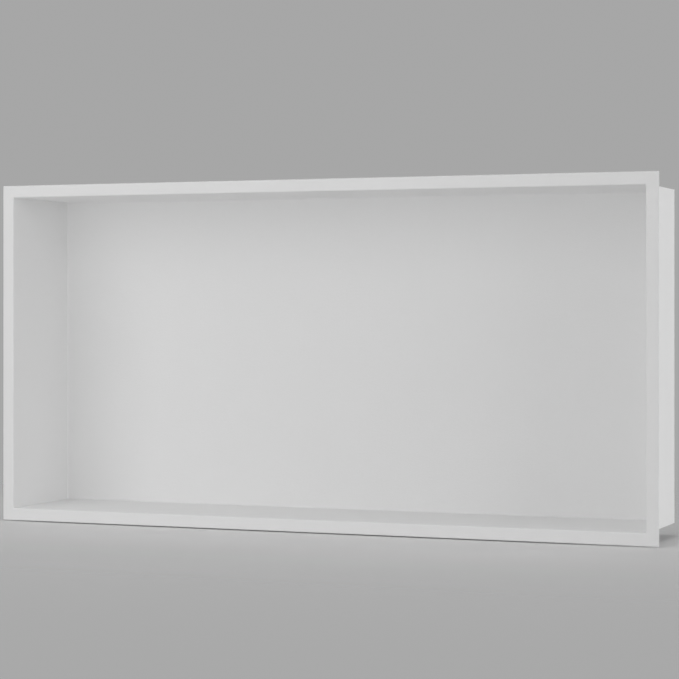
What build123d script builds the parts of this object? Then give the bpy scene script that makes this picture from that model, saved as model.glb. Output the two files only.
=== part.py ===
from build123d import *
import os

# Recessed wall niche: a pan folded from one sheet of steel, with a hemmed flange round its mouth.
# X runs left to right as seen from the front, +Y into the wall and +Z up.
# The origin is the centre of the flange's seat on the wall, the plane of the hem's back face.

# Driving dimensions
overall_width = 600.0  # across the flange
overall_height = 300.0  # across the flange
overall_depth = 100.0  # front of the flange to the back of the pan
sheet_thickness = 0.8
mouth_bend_radius = 0.5  # inside radius of the fold from the walls out to the flange
back_bend_radius = 2.0  # inside radius of the folds round the back panel
flange_overhang = 10.0  # flange beyond the outside of the pan's walls
hem_gap = 0.4  # slit between the flange and the hem folded back behind it
hem_clearance = 3.0  # from the hem's edge to the outside of the pan's walls
corner_radius = 1.0  # welds ground round at the flange's outer corners

# Sizes that follow from them
mouth_edge_radius = mouth_bend_radius + sheet_thickness
hem_thickness = 2 * sheet_thickness + hem_gap
hem_radius = hem_thickness / 2
hem_flat = flange_overhang - hem_clearance - hem_radius
flange_flat = flange_overhang + sheet_thickness - mouth_edge_radius - hem_radius
inner_depth = overall_depth - sheet_thickness
wall_flat = inner_depth - back_bend_radius - mouth_edge_radius
mouth_width = overall_width - 2 * (flange_overhang + sheet_thickness)
mouth_height = overall_height - 2 * (flange_overhang + sheet_thickness)
panel_width = mouth_width - 2 * back_bend_radius
panel_height = mouth_height - 2 * back_bend_radius

# The wall's face is the XZ plane, and both planes below face the room
front_plane = Plane.XZ.offset(hem_thickness)
back_plane = front_plane.offset(-overall_depth)

with BuildPart() as niche_body:
    # The mouth's edge, once round from the middle of its top
    with BuildLine(front_plane) as mouth_edge:
        Polyline(
            (0, mouth_height / 2),
            (-mouth_width / 2, mouth_height / 2),
            (-mouth_width / 2, -mouth_height / 2),
            (mouth_width / 2, -mouth_height / 2),
            (mouth_width / 2, mouth_height / 2),
            close=True,
        )

    # The sheet's section, drawn along its visible side from the back panel out to the hem's edge.
    # Its x runs outwards from the mouth's edge and its y into the wall.
    section_plane = Plane(origin=mouth_edge.line @ 0, x_dir=(0, 0, 1), z_dir=(-1, 0, 0))
    with BuildSketch(section_plane):
        with BuildLine():
            back_bend = JernArc((-back_bend_radius, inner_depth), (1, 0), back_bend_radius, -90)
            wall = Line(back_bend @ 1, back_bend @ 1 - (0, wall_flat))
            mouth_bend = JernArc(wall @ 1, (0, -1), mouth_edge_radius, 90)
            flange = Line(mouth_bend @ 1, mouth_bend @ 1 + (flange_flat, 0))
            hem_fold = JernArc(flange @ 1, (1, 0), hem_radius, 180)
            Line(hem_fold @ 1, hem_fold @ 1 - (hem_flat, 0))
            offset(amount=sheet_thickness, side=Side.LEFT)
        make_face()
    # Mitred corners, as the four folded sides are welded together
    sweep(path=mouth_edge.line, transition=Transition.RIGHT)

    # Back panel between the bends
    with BuildSketch(back_plane):
        Rectangle(panel_width, panel_height)
    extrude(amount=sheet_thickness)

    # Corners of the flange ground round
    with BuildSketch(front_plane):
        RectangleRounded(overall_width, overall_height, corner_radius)
    extrude(amount=-overall_depth, mode=Mode.INTERSECT)

niche_body.part.label = "niche_body"

os.makedirs("parts", exist_ok=True)
export_step(niche_body.part, "parts/niche_body.step")
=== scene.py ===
"""Powder coat and studio stage for a recessed wall niche folded from sheet steel."""

import math

import bpy
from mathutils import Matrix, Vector


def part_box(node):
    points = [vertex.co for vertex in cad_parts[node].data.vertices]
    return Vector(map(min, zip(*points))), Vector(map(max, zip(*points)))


bl_info = {
    "name": "Wall Niche",
    "version": (1, 0, 0),
    "blender": (4, 5, 0),
    "location": "View3D > Sidebar > Niche",
    "description": "Powder coats a folded steel wall niche and sets it on a studio stage",
    "category": "Object",
}

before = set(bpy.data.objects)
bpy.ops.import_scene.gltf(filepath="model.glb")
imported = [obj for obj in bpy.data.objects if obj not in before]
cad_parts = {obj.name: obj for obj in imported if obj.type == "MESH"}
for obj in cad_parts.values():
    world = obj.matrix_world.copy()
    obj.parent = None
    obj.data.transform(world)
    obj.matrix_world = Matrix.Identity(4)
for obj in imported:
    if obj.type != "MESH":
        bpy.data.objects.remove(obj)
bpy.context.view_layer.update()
BODY = "niche_body"

# The picture that the camera is set for, in pixels: its width, and the row level with the camera
PICTURE_SIZE = 679
HORIZON_ROW = 305.4

# Enough for light to settle in a white recess
DIFFUSE_BOUNCES = 8

# Octaves of the coat's patterns, and the level that noise varies about
CLOUD_DETAIL = 2.0
PEEL_DETAIL = 1.0
GRAIN_DETAIL = 2.0
NOISE_MEAN = 0.5

# Sockets of a Mix node set to colours. Its other data types have sockets of the same names.
MIX_FIRST = 6
MIX_SECOND = 7
MIX_RESULT = 2

# Round floor, far wider than the part of it that is seen
FLOOR_RADIUS = 7.0
FLOOR_SIDES = 96

# Softboxes, all facing the niche: name, place from the centre of the flange's seat, and width
SOFTBOXES = (
    ("key", (-0.58, -1.25, 0.24), 1.4),
    ("high", (-1.0, -1.19, 1.56), 1.4),
    ("low", (0.0, -1.3, -0.06), 0.4),
    ("side", (2.53, -3.02, 0.69), 1.6),
    ("right", (3.7, -1.35, 0.69), 2.4),
    ("rear", (3.41, 1.97, 0.25), 0.8),
    ("top", (0.0, -0.09, 2.6), 1.6),
    ("back", (-0.75, 2.49, 0.1), 0.5),
)


class Wire:
    """A shader socket that can stand in a Python expression."""

    def __init__(self, tree, socket):
        self.tree = tree
        self.socket = socket

    @classmethod
    def node(cls, tree, kind, settings=None, inputs=None, output=0):
        """Adds one node: its settings first, then the values or links of its sockets."""
        made = tree.nodes.new(kind)
        for name, value in (settings or {}).items():
            setattr(made, name, value)
        for name, value in (inputs or {}).items():
            if isinstance(value, cls):
                tree.links.new(value.socket, made.inputs[name])
            else:
                made.inputs[name].default_value = value
        return cls(tree, made.outputs[output]) if made.outputs else None

    def beside(self, output):
        """Another output of the same node."""
        return Wire(self.tree, self.socket.node.outputs[output])

    def math(self, operation, first, second):
        """Adds one Math node."""
        return self.node(self.tree, "ShaderNodeMath", {"operation": operation}, {0: first, 1: second})

    def __add__(self, other):
        return self.math("ADD", self, other)

    def __radd__(self, other):
        return self.math("ADD", other, self)

    def __sub__(self, other):
        return self.math("SUBTRACT", self, other)

    def __rsub__(self, other):
        return self.math("SUBTRACT", other, self)

    def __mul__(self, other):
        return self.math("MULTIPLY", self, other)

    def __rmul__(self, other):
        return self.math("MULTIPLY", other, self)


class CoatSettings(bpy.types.PropertyGroup):
    """Finish of the powder coat."""

    colour: bpy.props.FloatVectorProperty(
        name="Colour",
        description="Colour of the coat where it is thickest",
        subtype="COLOR",
        min=0.0,
        max=1.0,
        default=(0.87, 0.87, 0.87),
    )
    thin_colour: bpy.props.FloatVectorProperty(
        name="Thin colour",
        description="Colour of the coat where it is thinnest",
        subtype="COLOR",
        min=0.0,
        max=1.0,
        default=(0.86, 0.86, 0.86),
    )
    cloud_size: bpy.props.FloatProperty(
        name="Cloud size",
        description="Width of the patches over which the coat's thickness drifts",
        unit="LENGTH",
        default=0.09,
    )
    roughness: bpy.props.FloatProperty(
        name="Roughness",
        description="Mean roughness of the matte surface",
        subtype="FACTOR",
        min=0.0,
        max=1.0,
        default=0.6,
    )
    roughness_spread: bpy.props.FloatProperty(
        name="Roughness spread",
        description="How far the grains of powder change the roughness",
        subtype="FACTOR",
        min=0.0,
        max=1.0,
        default=0.3,
    )
    peel_size: bpy.props.FloatProperty(
        name="Peel size",
        description="Width of the soft ripples that the melted powder flows into",
        unit="LENGTH",
        default=0.0022,
    )
    peel_depth: bpy.props.FloatProperty(
        name="Peel depth",
        description="Height of those ripples",
        unit="LENGTH",
        default=0.00008,
        precision=6,
    )
    grain_size: bpy.props.FloatProperty(
        name="Grain size",
        description="Width of the fine grains of a matte powder",
        unit="LENGTH",
        default=0.0006,
        precision=5,
    )
    grain_depth: bpy.props.FloatProperty(
        name="Grain depth",
        description="Height of those grains",
        unit="LENGTH",
        default=0.00016,
        precision=6,
    )


class StageSettings(bpy.types.PropertyGroup):
    """Floor, backdrop, lamps and camera."""

    floor_colour: bpy.props.FloatVectorProperty(
        name="Floor",
        description="Colour of the plain floor",
        subtype="COLOR",
        min=0.0,
        max=1.0,
        default=(0.81, 0.81, 0.81),
    )
    floor_gap: bpy.props.FloatProperty(
        name="Floor gap",
        description="Gap between the floor and the flange's lower edge",
        unit="LENGTH",
        default=0.0009,
        precision=5,
    )
    floor_fade: bpy.props.FloatProperty(
        name="Floor fade",
        description="Distance over which the floor fades into the backdrop",
        unit="LENGTH",
        default=0.25,
    )
    backdrop_colour: bpy.props.FloatVectorProperty(
        name="Backdrop",
        description="Colour of the plain backdrop behind everything",
        subtype="COLOR",
        min=0.0,
        max=1.0,
        default=(0.385, 0.385, 0.385),
    )
    ambient: bpy.props.FloatProperty(
        name="Ambient",
        description="Strength of the even light from all round",
        min=0.0,
        default=0.15,
    )
    key_power: bpy.props.FloatProperty(
        name="Key",
        description="Near wide softbox at the front left",
        unit="POWER",
        min=0.0,
        default=7.4,
    )
    high_power: bpy.props.FloatProperty(
        name="High",
        description="Softbox high at the front left",
        unit="POWER",
        min=0.0,
        default=5.4,
    )
    low_power: bpy.props.FloatProperty(
        name="Low",
        description="Small softbox low at the front",
        unit="POWER",
        min=0.0,
        default=1.3,
    )
    side_power: bpy.props.FloatProperty(
        name="Side",
        description="Softbox far off at the front right",
        unit="POWER",
        min=0.0,
        default=5.0,
    )
    right_power: bpy.props.FloatProperty(
        name="Right",
        description="Wide softbox on the right",
        unit="POWER",
        min=0.0,
        default=35.5,
    )
    rear_power: bpy.props.FloatProperty(
        name="Rear",
        description="Softbox low on the right and behind",
        unit="POWER",
        min=0.0,
        default=43.0,
    )
    top_power: bpy.props.FloatProperty(
        name="Top",
        description="Softbox overhead",
        unit="POWER",
        min=0.0,
        default=13.4,
    )
    back_power: bpy.props.FloatProperty(
        name="Back",
        description="Small softbox low behind",
        unit="POWER",
        min=0.0,
        default=12.0,
    )
    camera_place: bpy.props.FloatVectorProperty(
        name="Camera",
        description="Place of the camera, from the centre of the flange's seat",
        subtype="TRANSLATION",
        default=(0.7081, -1.7075, 0.0427),
    )
    camera_turn: bpy.props.FloatProperty(
        name="Turn",
        description="Turn of the level camera away from facing the wall squarely",
        subtype="ANGLE",
        default=0.3805,
    )
    camera_lens: bpy.props.FloatProperty(
        name="Lens",
        description="Focal length",
        unit="CAMERA",
        default=115.44,
    )


def bare_tree(block):
    """Node tree of a new material or world, emptied."""
    block.use_nodes = True
    block.node_tree.nodes.clear()
    return block.node_tree


def opaque(colour):
    """Colour as a node's socket takes it."""
    return (*colour, 1.0)


def powder_coat(coat):
    """Matte white powder: a faint drift of thickness, soft peel and fine grain."""
    material = bpy.data.materials.new("powder_coat_white")
    tree = bare_tree(material)
    place = Wire.node(tree, "ShaderNodeTexCoord", output="Object")

    def noise(size, detail):
        return Wire.node(
            tree,
            "ShaderNodeTexNoise",
            {"noise_dimensions": "3D"},
            {"Vector": place, "Scale": 1.0 / size, "Detail": detail},
        )

    cloud = noise(coat.cloud_size, CLOUD_DETAIL)
    peel = noise(coat.peel_size, PEEL_DETAIL)
    grain = noise(coat.grain_size, GRAIN_DETAIL)
    colour = Wire.node(
        tree,
        "ShaderNodeMix",
        {"data_type": "RGBA"},
        {"Factor": cloud, MIX_FIRST: opaque(coat.thin_colour), MIX_SECOND: opaque(coat.colour)},
        output=MIX_RESULT,
    )
    height = peel * coat.peel_depth + grain * coat.grain_depth
    ripples = Wire.node(tree, "ShaderNodeBump", None, {"Distance": 1.0, "Height": height})
    surface = Wire.node(
        tree,
        "ShaderNodeBsdfPrincipled",
        None,
        {
            "Base Color": colour,
            "Roughness": coat.roughness + (grain - NOISE_MEAN) * coat.roughness_spread,
            "Normal": ripples,
        },
    )
    Wire.node(tree, "ShaderNodeOutputMaterial", None, {"Surface": surface})
    return material


def seen_rays(tree):
    """One for rays that show the stage: straight to the camera, by gloss or through glass."""
    camera = Wire.node(tree, "ShaderNodeLightPath", output="Is Camera Ray")
    return camera + camera.beside("Is Glossy Ray") + camera.beside("Is Transmission Ray")


def floor_paint(stage, half_size):
    """Floor without gloss. It fades into the backdrop away from the niche and isn't seen from below."""
    material = bpy.data.materials.new("stage_floor")
    tree = bare_tree(material)

    def vector(operation, inputs, output="Vector"):
        return Wire.node(tree, "ShaderNodeVectorMath", {"operation": operation}, inputs, output)

    place = Wire.node(tree, "ShaderNodeTexCoord", output="Object")
    beyond = vector("SUBTRACT", {0: vector("ABSOLUTE", {0: place}), 1: half_size})
    reach = vector("LENGTH", {0: vector("MAXIMUM", {0: beyond, 1: (0.0, 0.0, 0.0)})}, "Value")
    drop = reach * (-1.0 / stage.floor_fade)
    kept = Wire.node(tree, "ShaderNodeMath", {"operation": "EXPONENT"}, {0: drop})
    below = Wire.node(tree, "ShaderNodeNewGeometry", output="Backfacing")
    fade = 1.0 - kept * (1.0 - below)
    paint = Wire.node(
        tree,
        "ShaderNodeBsdfPrincipled",
        None,
        {"Base Color": opaque(stage.floor_colour), "Specular IOR Level": 0.0},
    )
    clear = Wire.node(tree, "ShaderNodeBsdfTransparent")
    hidden = fade * seen_rays(tree)
    surface = Wire.node(tree, "ShaderNodeMixShader", None, {0: hidden, 1: paint, 2: clear})
    Wire.node(tree, "ShaderNodeOutputMaterial", None, {"Surface": surface})
    return material


def light_world(scene, stage):
    """Even ambient light, with the backdrop's colour where it is seen."""
    scene.world = bpy.data.worlds.new("studio")
    tree = bare_tree(scene.world)
    white = opaque((1.0, 1.0, 1.0))
    ambient = Wire.node(tree, "ShaderNodeBackground", None, {"Color": white, "Strength": stage.ambient})
    backdrop = Wire.node(tree, "ShaderNodeBackground", None, {"Color": opaque(stage.backdrop_colour)})
    light = Wire.node(tree, "ShaderNodeMixShader", None, {0: seen_rays(tree), 1: ambient, 2: backdrop})
    Wire.node(tree, "ShaderNodeOutputWorld", None, {"Surface": light})


def lay_floor(stage):
    """Round floor centred under the niche, a small gap below it."""
    low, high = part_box(BODY)
    middle = (low + high) / 2
    half_size = (high.x - middle.x, high.y - middle.y, 0.0)
    bpy.ops.object.select_all(action="DESELECT")
    bpy.ops.mesh.primitive_circle_add(
        vertices=FLOOR_SIDES,
        radius=FLOOR_RADIUS,
        fill_type="NGON",
        location=(middle.x, middle.y, low.z - stage.floor_gap),
    )
    floor = bpy.context.object
    floor.name = "stage_floor"
    floor.data.materials.append(floor_paint(stage, half_size))


def hang_softboxes(stage):
    """Square area lamps that face the niche."""
    for name, place, width in SOFTBOXES:
        facing = Vector(place).to_track_quat("Z", "Y")
        bpy.ops.object.light_add(type="AREA", location=place, rotation=facing.to_euler())
        lamp = bpy.context.object
        lamp.name = f"lamp_{name}"
        lamp.visible_camera = False
        lamp.data.shape = "SQUARE"
        lamp.data.size = width
        lamp.data.energy = getattr(stage, f"{name}_power")


def place_camera(scene, stage):
    """Level camera whose lens is shifted up or down to frame the niche, so its uprights stay upright."""
    bpy.ops.object.camera_add(
        location=stage.camera_place,
        rotation=(math.pi / 2, 0.0, stage.camera_turn),
    )
    camera = bpy.context.object
    camera.name = "camera"
    camera.data.lens = stage.camera_lens
    camera.data.shift_y = HORIZON_ROW / PICTURE_SIZE - 0.5
    scene.camera = camera


class NICHE_OT_coat_body(bpy.types.Operator):
    """Powder coat the folded body"""

    bl_idname = "niche.coat_body"
    bl_label = "Powder coat body"

    def execute(self, context):
        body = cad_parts[BODY]
        material = powder_coat(context.scene.niche_coat)
        for slot in body.material_slots:
            slot.material = material
        return {"FINISHED"}


class NICHE_OT_set_stage(bpy.types.Operator):
    """Lay the floor, hang the lamps and place the camera"""

    bl_idname = "niche.set_stage"
    bl_label = "Set stage"

    def execute(self, context):
        scene = context.scene
        stage = scene.niche_stage
        lay_floor(stage)
        light_world(scene, stage)
        hang_softboxes(stage)
        place_camera(scene, stage)
        scene.cycles.diffuse_bounces = DIFFUSE_BOUNCES
        scene.view_settings.view_transform = "Standard"
        return {"FINISHED"}


class NICHE_PT_looks(bpy.types.Panel):
    """Settings and steps of the niche's looks"""

    bl_idname = "NICHE_PT_looks"
    bl_label = "Wall niche"
    bl_space_type = "VIEW_3D"
    bl_region_type = "UI"
    bl_category = "Niche"

    def draw(self, context):
        layout = self.layout
        for settings, operator in (
            (context.scene.niche_coat, NICHE_OT_coat_body),
            (context.scene.niche_stage, NICHE_OT_set_stage),
        ):
            box = layout.box()
            for name in settings.__annotations__:
                box.prop(settings, name)
            box.operator(operator.bl_idname)


CLASSES = (CoatSettings, StageSettings, NICHE_OT_coat_body, NICHE_OT_set_stage, NICHE_PT_looks)


def register():
    for cls in CLASSES:
        bpy.utils.register_class(cls)
    bpy.types.Scene.niche_coat = bpy.props.PointerProperty(type=CoatSettings)
    bpy.types.Scene.niche_stage = bpy.props.PointerProperty(type=StageSettings)


def unregister():
    del bpy.types.Scene.niche_stage
    del bpy.types.Scene.niche_coat
    for cls in reversed(CLASSES):
        bpy.utils.unregister_class(cls)


def main():
    """Runs every step in order."""
    register()
    bpy.ops.niche.coat_body()
    bpy.ops.niche.set_stage()


if __name__ == "__main__":
    main()
